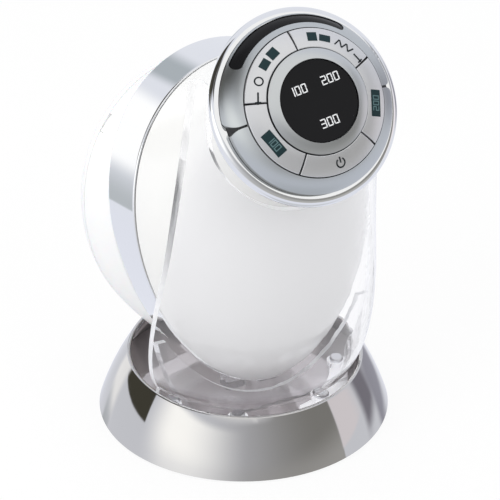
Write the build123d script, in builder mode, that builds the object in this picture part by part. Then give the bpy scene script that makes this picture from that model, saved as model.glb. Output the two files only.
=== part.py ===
from build123d import *
import os
from math import cos, degrees, pi, radians, sin, sqrt, tan

# A handheld body care device with a round treatment head, standing in a clear cradle on a polished base.
# Sizes are in millimetres. +Z is up, the control panel looks towards -Y, and the origin is on the floor
# under the middle of the base.

# Fits used all over the object
seat_gap = 0.15
move_gap = 0.35
shell_wall = 2.2

# Polished base: a cone with a slightly sloping rim
base_radius = 54.7
base_lean = 0.302
base_curve = 0.0069
base_lift = 0.8
base_wall = 1.8
rim_height = 23.6
rim_slope = 2.5
rim_round = 0.6
foot_inset = 4.7
foot_height = 2.0
foot_edge = 0.4
floor_plate_thickness = 2.4
ballast_inner = 12.0
ballast_margin = 6.4
ballast_edge = 0.5
ballast_height = 5.0
deck_height = 12.0
deck_thickness = 2.2
boss_margin = 0.7
boss_radius = 3.6
boss_count = 4
base_screw_reach = 4.0
screw_radius = 1.3
screw_head_edge = 0.7
screw_head_radius = 2.7
screw_head_height = 1.5

# Clear cradle: a barrel-shaped wall, open at the back, with a notch for the neck
cradle_wall = 2.4
cradle_clearance = 0.7
cradle_flare_height = 23.2
cradle_shoulder_inset = 1.1
cradle_shoulder_height = 38.0
cradle_belly_height = 74.0
cradle_top_inset = 1.2
cradle_top = 154.0
cradle_edge_foot = 8.4
cradle_edge_middle = 22.7
cradle_edge_top = 31.8
notch_radius = 28.8
notch_centre = 134.8
notch_shoulder = 1.5
flange_width = 7.0
flange_thickness = 2.4
flange_start = 14.0
flange_end = 76.0
lug_radius = 3.6
lug_margin = 0.6
lug_height = 4.4
lug_angles = (-70.0, -28.0, 28.0, 70.0)
saddle_thickness = 2.4
saddle_y = -24.0
saddle_lean = 8.0
saddle_clearance = 4.2
saddle_top = 47.0
rest_pad_width = 9.0
rest_pad_length = 7.0
rest_pad_spacing = 13.0
rest_pad_corner = 2.0
rest_pad_lip = 3.0
rest_pad_setback = 1.0
rest_height = 4.87

# Chrome ring round the middle of the handset, egg-shaped and leaning back
ring_y = -8.5
ring_lean = 12.94
ring_half_width = 44.9
ring_half_height = 61.5
ring_egg = 0.097
ring_depth = 23.1
ring_flare = 1.012
ring_wall = 2.0
ring_round = 0.7
ring_step = 0.7
gasket_thickness = 0.6
gasket_width = 2.6
gasket_margin = 0.4

# Round treatment head behind the ring
head_half_width = 50.1
head_half_height = 54.2
head_rise = 0.6
housing_step = 0.8
housing_middle_growth = 3.5
housing_middle_drop = 3.6
head_flare_depth = 14.7
head_dome_depth = 32.0
head_deck_slope = 45.0
head_deck_height = 10.0
head_deck_inset = 5.2
head_deck_wall = 2.5
head_flange = 3.0
flange_taper = 1.0
sound_plate_radius = 17.0
sound_plate_height = 1.6
electrode_radius = 5.5
electrode_height = 1.8
electrode_circle = 26.5
electrode_count = 6
electrode_pin_radius = 1.2
electrode_round = 1.26
head_deck_run = 1.0
head_board_margin = 1.0
transducer_edge = 1.0
catch_angle = 48.0
catch_width = 7.0
catch_depth = 3.6
catch_inset = 0.5
catch_thickness = 1.7

# Control panel at the end of the neck, a stepped dome turned a little about its own axis
panel_y = -59.4
panel_z = 151.9
panel_lean = 32.9
panel_turn = 9.0
window_radius = 13.9
window_thickness = 1.6
bezel_radius = 17.5
bezel_drop = 0.7
bezel_crest = 0.45
bezel_crown = 0.15
bezel_skirt = 1.5
bezel_seat = 1.3
window_edge = 0.3
module_radius = 11.8
key_crown = 0.35
key_outer_radius = 24.6
key_inner_drop = 1.2
key_outer_drop = 3.3
key_depth = 5.8
key_gap = 0.55
key_travel = 0.5
key_margin = 0.3
key_count = 5
first_key_angle = 18.0
screw_dividers = (1, 3, 4)
key_edge = 0.25
stem_radius = 1.6
plate_inner_radius = 24.95
plate_outer_radius = 30.8
plate_inner_drop = 3.9
plate_outer_drop = 10.6
plate_bulge = 0.75
plate_thickness = 1.2
plate_gap = 0.8
plate_corner = 4.0
right_gap_turn = -7.5
left_gap_turn = 177.5
lower_trim = 1.0
strip_recess = 0.4
switch_size = 6.0
switch_height = 1.6
slot_inner_radius = 26.8
slot_outer_radius = 30.3
slot_half_angle = 47.0
carrier_floor_drop = 6.9
carrier_floor_thickness = 1.3
carrier_margin = 0.5
carrier_skirt = 1.7
carrier_slope_run = 3.4
carrier_boss_wall = 1.4
carrier_screw_bite = 0.6
module_margin = 0.5
stem_margin = 0.2
switch_margin = 0.1
switch_corner = 0.6
board_drop = 10.5
board_thickness = 1.6
cup_radius = 33.5
cup_drop = 13.4
cup_back_drop = 19.6
cup_wall = 1.7
cup_shelf = 1.5
cup_shelf_depth = 1.4
cup_shoulder = 2.2
cup_shoulder_drop = 4.1
cup_foot = 0.5
cup_hollow = 2.1
cup_hollow_rise = 1.5
lip_rise = 0.3
lip_margin = 0.1
lip_round = 0.8
collar_radius = 24.0
collar_length = 1.7
collar_edge = 0.4
neck_radius = 22.0
neck_bore = 18.0

# White body between the ring and the neck
belly_reach = 40.0
belly_rise = 28.0
foot_reach = 29.6
neck_lead = 26.0
crown_lead = 12.0
section_steps = (0.0, 0.15, 0.3, 0.45, 0.6, 0.75, 0.88, 1.0)
belly_half_width = 40.0
throat_half_width = 24.0

# Inner pieces of the handset
frame_setback = 8.0
frame_thickness = 2.5
main_board_width = 52.0
main_board_height = 76.0
battery_width = 38.0
battery_height = 58.0
battery_depth = 14.0
post_x = 22.5
post_y = 33.0
post_length = 4.0
post_radius = 3.0
frame_hole_radius = 6.0
frame_upper_hole = 45.0
frame_lower_hole = 43.0
board_corner = 3.0
battery_corner = 2.0
transformer_size = 16.0
transformer_height = 10.0
transformer_corner = 1.5
transformer_flange = 2.0
transformer_winding_radius = 7.0
transducer_radius = 14.0
transducer_length = 14.0
jack_bore_radius = 2.8
jack_outer_radius = 4.6
jack_depth = 9.0
jack_length = 11.5
jack_setback = 30.0
jack_face = 48.2

os.makedirs("parts", exist_ok=True)


def base_outer(height):
    """Outer radius of the polished cone at a height above the floor"""
    return base_radius - base_lean * height - base_curve * height**2


def base_inner(height):
    """Inner radius of the polished cone at a height above the floor"""
    return base_outer(height) - base_wall


foot_radius = base_radius - foot_inset
boss_circle = base_inner(deck_height) - boss_radius - boss_margin
ballast_outer = boss_circle - boss_radius - ballast_margin
cradle_foot_radius = base_inner(rim_height) - move_gap
cradle_belly_radius = ring_half_width + cradle_clearance + cradle_wall
cradle_shoulder_radius = cradle_belly_radius - cradle_shoulder_inset
cradle_top_radius = cradle_belly_radius - cradle_top_inset
ring_drop = ring_half_height * ring_flare * cos(radians(ring_lean)) + ring_depth * sin(radians(ring_lean))
ring_z = deck_height + rest_height + ring_drop


def egg_points(half_width, half_height, egg, count=20):
    """Points on an egg-shaped outline, wider at its top"""
    points = []
    for step in range(count):
        turn = 2 * pi * step / count
        rise = sin(turn)
        points.append((half_width * cos(turn) * (1 + egg * rise), half_height * rise))
    return points


def bezier(start, lead, trail, end, t):
    """A point, or a size, on a smooth curve between start and end"""
    weights = ((1 - t) ** 3, 3 * t * (1 - t) ** 2, 3 * t**2 * (1 - t), t**3)
    return start * weights[0] + lead * weights[1] + trail * weights[2] + end * weights[3]


def radial_plane(frame, angle):
    """A plane through the axis of frame: its x runs outwards at the angle, its y runs along the axis"""
    outwards = frame.x_dir * cos(radians(angle)) + frame.y_dir * sin(radians(angle))
    return Plane(origin=frame.origin, x_dir=outwards, z_dir=outwards.cross(frame.z_dir))


def turned_plane(frame, angle):
    """The same plane with its x turned by an angle"""
    outwards = frame.x_dir * cos(radians(angle)) + frame.y_dir * sin(radians(angle))
    return Plane(origin=frame.origin, x_dir=outwards, z_dir=frame.z_dir)


def finish(piece, label):
    """Names a finished piece and writes it"""
    piece.part.label = label
    export_step(piece.part, f"parts/{label}.step")


# Frames of the handset: the ring's front edge, with z running backwards, and the panel, with z outwards
ring_back_way = Vector(0, cos(radians(ring_lean)), -sin(radians(ring_lean)))
ring_front = Plane(origin=(0, ring_y, ring_z), x_dir=(-1, 0, 0), z_dir=ring_back_way)
ring_back = ring_front.offset(ring_depth)
ring_up = ring_front.y_dir
head_front = Plane(
    origin=ring_front.offset(ring_depth + head_flare_depth).origin + ring_up * head_rise,
    x_dir=(-1, 0, 0),
    z_dir=ring_back_way,
)
head_oval = head_half_width / head_half_height
panel_out_way = Vector(0, -cos(radians(panel_lean)), sin(radians(panel_lean)))
panel_upright = Plane(origin=(0, panel_y, panel_z), x_dir=(1, 0, 0), z_dir=panel_out_way)
panel = turned_plane(panel_upright, panel_turn)
panel_axis = Axis(panel.origin, panel.z_dir)
head_axis = Axis(head_front.origin, head_front.z_dir)
catch_across = head_half_width * cos(radians(catch_angle))
catch_along = head_half_height * sin(radians(catch_angle))
catch_reach = head_half_width * head_half_height / sqrt(catch_across**2 + catch_along**2) - catch_inset

# Polished base shell
rim_normal = (0, -sin(radians(rim_slope)), cos(radians(rim_slope)))
rim_plane = Plane(origin=(0, 0, rim_height), x_dir=(1, 0, 0), z_dir=rim_normal)
cone_top = rim_height + base_radius * tan(radians(rim_slope)) + 1
cone_middle = cone_top / 2
with BuildPart() as base_shell:
    with BuildSketch(Plane.XZ):
        with BuildLine():
            ThreePointArc(
                (base_outer(base_lift), base_lift),
                (base_outer(cone_middle), cone_middle),
                (base_outer(cone_top), cone_top),
            )
            Line((base_outer(cone_top), cone_top), (base_inner(cone_top), cone_top))
            ThreePointArc(
                (base_inner(cone_top), cone_top),
                (base_inner(cone_middle), cone_middle),
                (base_inner(base_lift), base_lift),
            )
            Line((base_inner(base_lift), base_lift), (base_outer(base_lift), base_lift))
        make_face()
    revolve(axis=Axis.Z)
    split(bisect_by=rim_plane, keep=Keep.BOTTOM)
    rim_edges = base_shell.faces().sort_by(Axis.Z)[-1].edges()
    fillet(rim_edges, rim_round)
finish(base_shell, "base_shell")

# Floor plate that closes the base from below
floor_plate_top = foot_height + floor_plate_thickness
with BuildPart() as floor_plate:
    with BuildSketch(Plane.XY.offset(foot_height)):
        Circle(base_inner(floor_plate_top) - seat_gap)
    extrude(amount=floor_plate_thickness)
    with BuildSketch(Plane.XY.offset(foot_height)):
        with PolarLocations(boss_circle, boss_count):
            Circle(screw_radius + seat_gap)
    extrude(amount=floor_plate_thickness, mode=Mode.SUBTRACT)
    with BuildSketch(Plane.XY.offset(foot_height)):
        with PolarLocations(boss_circle, boss_count):
            Circle(screw_head_radius + seat_gap)
    extrude(amount=screw_head_height, mode=Mode.SUBTRACT)
finish(floor_plate, "floor_plate")

# Round rubber foot under the floor plate
with BuildPart() as rubber_foot:
    with BuildSketch(Plane.XY):
        Circle(foot_radius)
    extrude(amount=foot_height)
    chamfer(rubber_foot.edges().group_by(Axis.Z)[0], foot_edge)
finish(rubber_foot, "rubber_foot")

# Steel ballast ring on the floor plate
with BuildPart() as ballast:
    with BuildSketch(Plane.XY.offset(floor_plate_top)):
        Circle(ballast_outer)
        Circle(ballast_inner, mode=Mode.SUBTRACT)
    extrude(amount=ballast_height)
    chamfer(ballast.edges().group_by(Axis.Z)[-1], ballast_edge)
finish(ballast, "ballast")

# Deck that closes the well of the base and carries the cradle
lug_circle = cradle_foot_radius - cradle_wall - lug_radius - lug_margin
lug_spots = []
for lug_angle in lug_angles:
    lug_spots.append((lug_circle * sin(radians(lug_angle)), -lug_circle * cos(radians(lug_angle))))
with BuildPart() as deck:
    with BuildSketch(Plane.XY.offset(deck_height - deck_thickness)):
        Circle(base_inner(deck_height) - seat_gap)
    extrude(amount=deck_thickness)
    with BuildSketch(Plane.XY.offset(floor_plate_top)):
        with PolarLocations(boss_circle, boss_count):
            Circle(boss_radius)
    extrude(amount=deck_height - deck_thickness - floor_plate_top)
    with BuildSketch(Plane.XY.offset(floor_plate_top)):
        with PolarLocations(boss_circle, boss_count):
            Circle(screw_radius)
    extrude(amount=base_screw_reach, mode=Mode.SUBTRACT)
    with BuildSketch(Plane.XY.offset(deck_height - deck_thickness)):
        with Locations(*lug_spots):
            Circle(screw_radius)
    extrude(amount=deck_thickness, mode=Mode.SUBTRACT)
finish(deck, "deck")

# Screws that pull the floor plate and the deck together
with BuildPart() as base_screws:
    with BuildSketch(Plane.XY.offset(foot_height)):
        with PolarLocations(boss_circle, boss_count):
            Circle(screw_head_radius)
    extrude(amount=screw_head_height)
    with BuildSketch(Plane.XY.offset(foot_height)):
        with PolarLocations(boss_circle, boss_count):
            Circle(screw_radius)
    extrude(amount=floor_plate_thickness + base_screw_reach)
finish(base_screws, "base_screws")


def cradle_face(inset):
    """Half section of the solid barrel, inset from the cradle's outside"""
    with BuildSketch(Plane.XZ) as section:
        with BuildLine():
            foot = (cradle_foot_radius - inset, deck_height)
            flare = (cradle_foot_radius - inset, cradle_flare_height)
            belly = (cradle_belly_radius - inset, cradle_belly_height)
            top = (cradle_top_radius - inset, cradle_top)
            shoulder = (cradle_shoulder_radius - inset, cradle_shoulder_height)
            Line(foot, flare)
            Spline(flare, shoulder, belly, top, tangents=((0.7, 1), (-0.03, 1)))
            Polyline(top, (0, cradle_top), (0, deck_height), foot)
        make_face()
    return section.sketch


# Clear cradle standing on the deck
edge_foot = (-cradle_edge_foot, deck_height)
edge_middle = (-cradle_edge_middle, cradle_belly_height)
edge_top = (-cradle_edge_top, cradle_top)
with BuildPart() as cradle:
    revolve(cradle_face(0), axis=Axis.Z)
    revolve(cradle_face(cradle_wall), axis=Axis.Z, mode=Mode.SUBTRACT)
    with BuildSketch(Plane.YZ):
        with BuildLine():
            ThreePointArc(edge_foot, edge_middle, edge_top)
            Polyline(edge_top, (2 * base_radius, cradle_top), (2 * base_radius, deck_height), edge_foot)
        make_face()
    extrude(amount=base_radius, both=True, mode=Mode.SUBTRACT)
    with BuildSketch(Plane.XZ):
        with BuildLine():
            Polyline(
                (-notch_radius, notch_centre),
                (-notch_radius, cradle_top),
                (-base_radius, cradle_top),
                (-base_radius, 2 * cradle_top),
                (base_radius, 2 * cradle_top),
                (base_radius, cradle_top),
                (notch_radius, cradle_top),
                (notch_radius, notch_centre),
            )
            ThreePointArc(
                (notch_radius, notch_centre),
                (0, notch_centre - notch_radius),
                (-notch_radius, notch_centre),
            )
        make_face()
        corners = vertices().filter_by_position(Axis.Y, cradle_top - seat_gap, cradle_top + seat_gap)
        fillet(corners.sort_by(Axis.X)[1:3], notch_shoulder)
    extrude(amount=base_radius, mode=Mode.SUBTRACT)
    for side in (-1, 1):
        with BuildSketch(Plane.XY.offset(deck_height)):
            with BuildLine():
                outer = cradle_foot_radius - cradle_wall / 2
                inner = cradle_foot_radius - cradle_wall - flange_width
                start = -90 + side * flange_start
                sweep = side * (flange_end - flange_start)
                rim = CenterArc((0, 0), outer, start, sweep)
                lip = CenterArc((0, 0), inner, start, sweep)
                Line(rim @ 0, lip @ 0)
                Line(rim @ 1, lip @ 1)
            make_face()
        extrude(amount=flange_thickness)
    with BuildSketch(Plane.XY.offset(deck_height)):
        with Locations(*lug_spots):
            Circle(lug_radius)
    extrude(amount=lug_height)
    with BuildSketch(Plane.XY.offset(deck_height)):
        with Locations(*lug_spots):
            Circle(screw_radius + seat_gap)
    extrude(amount=lug_height, mode=Mode.SUBTRACT)
finish(cradle, "cradle")

# Screws that hold the cradle's lugs to the deck
with BuildPart() as cradle_screws:
    with BuildSketch(Plane.XY.offset(deck_height + lug_height)):
        with Locations(*lug_spots):
            Circle(screw_head_radius)
    extrude(amount=screw_head_height)
    fillet(cradle_screws.edges().group_by(Axis.Z)[-1], screw_head_edge)
    with BuildSketch(Plane.XY.offset(deck_height - deck_thickness)):
        with Locations(*lug_spots):
            Circle(screw_radius)
    extrude(amount=deck_thickness + lug_height)
finish(cradle_screws, "cradle_screws")


def ring_outline(grow, flare=1.0):
    """The ring's egg-shaped outline, grown by a distance"""
    return egg_points(ring_half_width * flare + grow, ring_half_height * flare + grow, ring_egg)


# Clear saddle across the cradle, cut out round the lower half of the ring
saddle_tilt = radians(saddle_lean)
saddle_back_way = (0, cos(saddle_tilt), -sin(saddle_tilt))
saddle_plane = Plane(origin=(0, saddle_y, deck_height), x_dir=(-1, 0, 0), z_dir=saddle_back_way)
saddle_height = (saddle_top - deck_height) / cos(saddle_tilt)
with BuildPart() as saddle:
    with BuildSketch(saddle_plane):
        Rectangle(2 * base_radius, 2 * saddle_height)
    extrude(amount=saddle_thickness)
    with BuildSketch(ring_front.offset(-ring_depth)):
        with BuildLine():
            Spline(*ring_outline(saddle_clearance), periodic=True)
        make_face()
    extrude(amount=2 * ring_depth, mode=Mode.SUBTRACT)
    revolve(cradle_face(cradle_wall + seat_gap), axis=Axis.Z, mode=Mode.INTERSECT)
    with BuildSketch(Plane.XY.offset(deck_height)):
        Circle(base_radius)
        Circle(cradle_foot_radius - cradle_wall - flange_width - move_gap, mode=Mode.SUBTRACT)
    extrude(amount=flange_thickness + seat_gap, mode=Mode.SUBTRACT)
finish(saddle, "saddle")

# Soft pads on the deck under the lowest edge of the ring
pad_lift = ring_half_height * ring_flare
pad_top = ring_back.origin.Z - pad_lift * ring_up.Z
pad_y = ring_back.origin.Y - pad_lift * ring_up.Y - rest_pad_length / 2 - rest_pad_setback
with BuildPart() as rest_pads:
    with BuildSketch(Plane.XY.offset(deck_height)):
        with Locations((-rest_pad_spacing / 2, pad_y), (rest_pad_spacing / 2, pad_y)):
            RectangleRounded(rest_pad_width, rest_pad_length, rest_pad_corner)
    extrude(amount=pad_top - deck_height + rest_pad_lip)
    with BuildSketch(ring_front):
        with BuildLine():
            Spline(*ring_outline(move_gap, ring_flare), periodic=True)
        make_face()
    extrude(amount=2 * ring_depth, mode=Mode.SUBTRACT)
finish(rest_pads, "rest_pads")

# Chrome ring
with BuildPart() as ring_band:
    with BuildSketch(ring_front):
        with BuildLine():
            Spline(*ring_outline(0), periodic=True)
        make_face()
    with BuildSketch(ring_back):
        with BuildLine():
            Spline(*ring_outline(0, ring_flare), periodic=True)
        make_face()
    loft()
    with BuildSketch(ring_front):
        with BuildLine():
            Spline(*ring_outline(-ring_wall), periodic=True)
        make_face()
    extrude(amount=ring_depth, mode=Mode.SUBTRACT)
    fillet(ring_band.edges().sort_by(SortBy.LENGTH)[-2:], ring_round)
finish(ring_band, "ring_band")

# Dark gasket between the ring and the white body
gasket_plane = ring_front.offset(-gasket_thickness)
gasket_inset = ring_step + gasket_margin
with BuildPart() as ring_gasket:
    with BuildSketch(gasket_plane):
        with BuildLine():
            Spline(*ring_outline(-gasket_inset), periodic=True)
        make_face()
        with BuildLine():
            Spline(*ring_outline(-gasket_inset - gasket_width), periodic=True)
        make_face(mode=Mode.SUBTRACT)
    extrude(amount=gasket_thickness)
finish(ring_gasket, "ring_gasket")

# White body shell: sections lean over from the ring to the neck
neck_plane = panel_upright.offset(-cup_back_drop - collar_length)
body_foot = gasket_plane.origin - ring_up * (ring_half_height - ring_step)
body_crown = gasket_plane.origin + ring_up * (ring_half_height - ring_step)
neck_foot = neck_plane.origin - panel_upright.y_dir * neck_radius
neck_crown = neck_plane.origin + panel_upright.y_dir * neck_radius
foot_lead = body_foot + Vector(0, -foot_reach, belly_rise)
foot_trail = neck_foot - panel_upright.z_dir * neck_lead
crown_start = body_crown - ring_back_way * crown_lead
crown_trail = neck_crown - panel_upright.z_dir * crown_lead


def body_section(t, inset):
    """Sketch of the body's outline at t, 0 at the ring and 1 at the neck, inset for the inside"""
    foot = bezier(body_foot, foot_lead, foot_trail, neck_foot, t)
    crown = bezier(body_crown, crown_start, crown_trail, neck_crown, t)
    upwards = (crown - foot).normalized()
    middle = (crown + foot) * 0.5
    plane = Plane(origin=middle, x_dir=(-1, 0, 0), z_dir=Vector(-1, 0, 0).cross(upwards))
    half_height = (crown - foot).length / 2 - inset
    ring_end = ring_half_width - ring_step
    half_width = bezier(ring_end, belly_half_width, throat_half_width, neck_radius, t) - inset
    with BuildSketch(plane) as section:
        with BuildLine():
            Spline(*egg_points(half_width, half_height, ring_egg * (1 - t)), periodic=True)
        make_face()
    return section.sketch


with BuildPart() as body_shell:
    loft([body_section(t, 0) for t in section_steps])
    loft([body_section(t, shell_wall) for t in section_steps], mode=Mode.SUBTRACT)
finish(body_shell, "body_shell")

# White housing that flares from the ring to the round head
housing_foot_width = ring_half_width * ring_flare - housing_step
housing_foot_height = ring_half_height * ring_flare - housing_step
housing_middle_width = ring_half_width + housing_middle_growth
housing_middle_height = ring_half_height - housing_middle_drop
housing_steps = (
    (0.0, housing_foot_width, housing_foot_height, ring_egg, 0.0),
    (0.5, housing_middle_width, housing_middle_height, ring_egg * 0.3, 0.3),
    (1.0, head_half_width, head_half_height, 0.0, 1.0),
)


def housing_section(step, inset):
    """Sketch of the head housing's outline at one step, inset for the inside"""
    along, half_width, half_height, egg, rise = step
    level = ring_back.offset(along * head_flare_depth)
    middle = level.origin + ring_up * (rise * head_rise)
    plane = Plane(origin=middle, x_dir=(-1, 0, 0), z_dir=ring_back_way)
    with BuildSketch(plane) as section:
        with BuildLine():
            Spline(*egg_points(half_width - inset, half_height - inset, egg), periodic=True)
        make_face()
    return section.sketch


jack_spot = ring_front.offset(jack_setback).origin
with BuildPart() as head_housing:
    loft([housing_section(step, 0) for step in housing_steps])
    loft([housing_section(step, shell_wall) for step in housing_steps], mode=Mode.SUBTRACT)
    with BuildSketch(Plane(origin=jack_spot, x_dir=(0, 1, 0), z_dir=(1, 0, 0))):
        Circle(jack_outer_radius + seat_gap)
    extrude(amount=base_radius, mode=Mode.SUBTRACT)
    for turn in (90 - catch_angle, 90 + catch_angle):
        with BuildSketch(radial_plane(head_front, turn)):
            with Locations((catch_reach - catch_thickness / 2, -catch_depth / 2)):
                Rectangle(2 * catch_depth, catch_depth + 2 * seat_gap)
        extrude(amount=catch_width / 2 + seat_gap, both=True, mode=Mode.SUBTRACT)
finish(head_housing, "head_housing")


def dome_face(inset, start):
    """Quarter section of the domed cover on its own axis, inset for the inside"""
    radius = head_half_height - inset
    depth = head_dome_depth - inset
    with BuildSketch(radial_plane(head_front, 90)) as section:
        with BuildLine():
            EllipticalCenterArc((0, 0), radius, depth, start_angle=0, arc_size=90)
            Polyline((0, depth), (0, 0), (radius, 0))
        make_face()
        if start:
            Rectangle(3 * radius, 2 * start, mode=Mode.SUBTRACT)
    return section.sketch


# Domed cover over the treatment head
with BuildPart() as head_cover:
    revolve(dome_face(0, move_gap), axis=head_axis)
    revolve(dome_face(shell_wall, 0), axis=head_axis, mode=Mode.SUBTRACT)
    scale(by=(head_oval, 1, 1), about=(0, 0, 0))
finish(head_cover, "head_cover")


def oval_loft(low, low_inset, high, high_inset, mode=Mode.ADD):
    """A block between two ovals across the head's axis, each inset from the rim of the head"""
    faces = []
    for level, oval_inset in ((low, low_inset), (high, high_inset)):
        with BuildSketch(head_front.offset(level)) as section:
            Ellipse(head_half_width - oval_inset, head_half_height - oval_inset)
        faces.append(section.sketch)
    loft(faces, mode=mode)


# Deck of the treatment head, a flange with a raised oval body
deck_slope_run = head_deck_height / tan(radians(head_deck_slope))
deck_top_inset = head_deck_inset + deck_slope_run
flange_inset = shell_wall + seat_gap
hollow_top = head_deck_height - head_deck_wall
hollow_top_inset = deck_top_inset + head_deck_run
hollow_foot_inset = hollow_top_inset - (hollow_top + head_flange) / tan(radians(head_deck_slope))
with BuildPart() as head_deck:
    oval_loft(-head_flange, flange_inset + flange_taper, 0, flange_inset)
    oval_loft(0, head_deck_inset, head_deck_height, deck_top_inset)
    oval_loft(-head_flange, hollow_foot_inset, hollow_top, hollow_top_inset, mode=Mode.SUBTRACT)
    with BuildSketch(head_front):
        with PolarLocations(electrode_circle, electrode_count):
            Circle(electrode_pin_radius + seat_gap)
    extrude(amount=head_deck_height, mode=Mode.SUBTRACT)
finish(head_deck, "head_deck")

# Round metal plate in the middle of the treatment head
with BuildPart() as sound_plate:
    with BuildSketch(head_front.offset(head_deck_height)):
        Circle(sound_plate_radius)
    extrude(amount=sound_plate_height)
    fillet(sound_plate.faces().sort_by(head_axis)[-1].edges(), sound_plate_height / 2)
finish(sound_plate, "sound_plate")

# Electrodes round the plate, each with a pin through the deck
with BuildPart() as electrodes:
    with BuildSketch(head_front.offset(head_deck_height)):
        with PolarLocations(electrode_circle, electrode_count):
            Circle(electrode_radius)
    extrude(amount=electrode_height)
    fillet(electrodes.edges().group_by(head_axis)[-1], electrode_round)
    with BuildSketch(head_front.offset(hollow_top)):
        with PolarLocations(electrode_circle, electrode_count):
            Circle(electrode_pin_radius)
    extrude(amount=head_deck_wall)
finish(electrodes, "electrodes")

# Transducer behind the metal plate
with BuildPart() as transducer:
    with BuildSketch(head_front.offset(hollow_top)):
        Circle(transducer_radius)
    extrude(amount=-transducer_length)
    chamfer(transducer.edges().group_by(head_axis)[0], transducer_edge)
finish(transducer, "transducer")

# Ring-shaped circuit board that the electrode pins meet
with BuildPart() as head_board:
    with BuildSketch(head_front.offset(hollow_top)):
        Circle(electrode_circle + electrode_radius - head_board_margin)
        Circle(transducer_radius + move_gap, mode=Mode.SUBTRACT)
    extrude(amount=-board_thickness)
finish(head_board, "head_board")

# Snap catches for the cover, in pockets of the head housing's rim
with BuildPart() as cover_catches:
    for turn in (90 - catch_angle, 90 + catch_angle):
        catch_plane = radial_plane(head_front, turn)
        with BuildSketch(catch_plane):
            with Locations((catch_reach - catch_thickness / 2, -catch_depth / 2)):
                Rectangle(catch_thickness, catch_depth)
        extrude(amount=catch_width / 2, both=True)
finish(cover_catches, "cover_catches")

# Power socket in the side of the head housing
jack_plane = Plane(origin=jack_spot + Vector(jack_face, 0, 0), x_dir=(0, 1, 0), z_dir=(-1, 0, 0))
with BuildPart() as power_socket:
    with BuildSketch(jack_plane):
        Circle(jack_outer_radius)
    extrude(amount=jack_length)
    with BuildSketch(jack_plane):
        Circle(jack_bore_radius)
    extrude(amount=jack_depth, mode=Mode.SUBTRACT)
finish(power_socket, "power_socket")

# Frame plate across the ring, with posts for the main board
board_back = frame_setback - post_length
board_front = board_back - board_thickness
with BuildPart() as mid_frame:
    with BuildSketch(ring_front.offset(frame_setback)):
        with BuildLine():
            Spline(*ring_outline(-ring_wall - seat_gap), periodic=True)
        make_face()
        with Locations((0, frame_upper_hole), (0, -frame_lower_hole)):
            Circle(frame_hole_radius, mode=Mode.SUBTRACT)
    extrude(amount=frame_thickness)
    with BuildSketch(ring_front.offset(board_back)):
        with GridLocations(2 * post_x, 2 * post_y, 2, 2):
            Circle(post_radius)
    extrude(amount=post_length)
    with BuildSketch(ring_front.offset(board_back)):
        with GridLocations(2 * post_x, 2 * post_y, 2, 2):
            Circle(screw_radius)
    extrude(amount=post_length, mode=Mode.SUBTRACT)
finish(mid_frame, "mid_frame")

# Main circuit board on the posts
with BuildPart() as main_board:
    with BuildSketch(ring_front.offset(board_front)):
        RectangleRounded(main_board_width, main_board_height, board_corner)
        with GridLocations(2 * post_x, 2 * post_y, 2, 2):
            Circle(screw_radius + seat_gap, mode=Mode.SUBTRACT)
    extrude(amount=board_thickness)
finish(main_board, "main_board")

# Screws through the main board into the posts
with BuildPart() as board_screws:
    with BuildSketch(ring_front.offset(board_front)):
        with GridLocations(2 * post_x, 2 * post_y, 2, 2):
            Circle(screw_head_radius)
    extrude(amount=-screw_head_height)
    with BuildSketch(ring_front.offset(board_front)):
        with GridLocations(2 * post_x, 2 * post_y, 2, 2):
            Circle(screw_radius)
    extrude(amount=board_thickness + post_length)
finish(board_screws, "board_screws")

# Battery in front of the main board
with BuildPart() as battery:
    with BuildSketch(ring_front.offset(board_front)):
        RectangleRounded(battery_width, battery_height, battery_corner)
    extrude(amount=-battery_depth)
finish(battery, "battery")

# High frequency transformer on the back of the frame plate
with BuildPart() as rf_transformer:
    with BuildSketch(ring_front.offset(frame_setback + frame_thickness)):
        RectangleRounded(transformer_size, transformer_size, transformer_corner)
    extrude(amount=transformer_height)
    with BuildSketch(ring_front.offset(frame_setback + frame_thickness + transformer_flange)):
        Rectangle(transformer_size, transformer_size)
        Circle(transformer_winding_radius, mode=Mode.SUBTRACT)
    extrude(amount=transformer_height - 2 * transformer_flange, mode=Mode.SUBTRACT)
finish(rf_transformer, "rf_transformer")

# Chrome collar between the neck and the panel
with BuildPart() as neck_collar:
    with BuildSketch(neck_plane):
        Circle(collar_radius)
        Circle(neck_bore, mode=Mode.SUBTRACT)
    extrude(amount=collar_length)
    fillet(neck_collar.edges().filter_by(GeomType.CIRCLE).sort_by(SortBy.RADIUS)[-2:], collar_edge)
finish(neck_collar, "neck_collar")


def plate_arc(inset):
    """Start, middle and end of the contact plates' section, inset from their outside"""
    start = Vector(plate_inner_radius, -plate_inner_drop - inset)
    end = Vector(plate_outer_radius - inset, -plate_outer_drop)
    along = (end - start).normalized()
    middle = (start + end) * 0.5 + Vector(-along.Y, along.X) * plate_bulge
    return start, middle, end


def plate_face(frame, top_inset, foot_inset):
    """Section of a curved plate between two insets"""
    with BuildSketch(frame) as section:
        with BuildLine():
            upper = plate_arc(top_inset)
            lower = plate_arc(foot_inset)
            ThreePointArc(*upper)
            Line(upper[2], lower[2])
            ThreePointArc(*lower)
            Line(lower[0], upper[0])
        make_face()
    return section.sketch


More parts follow.
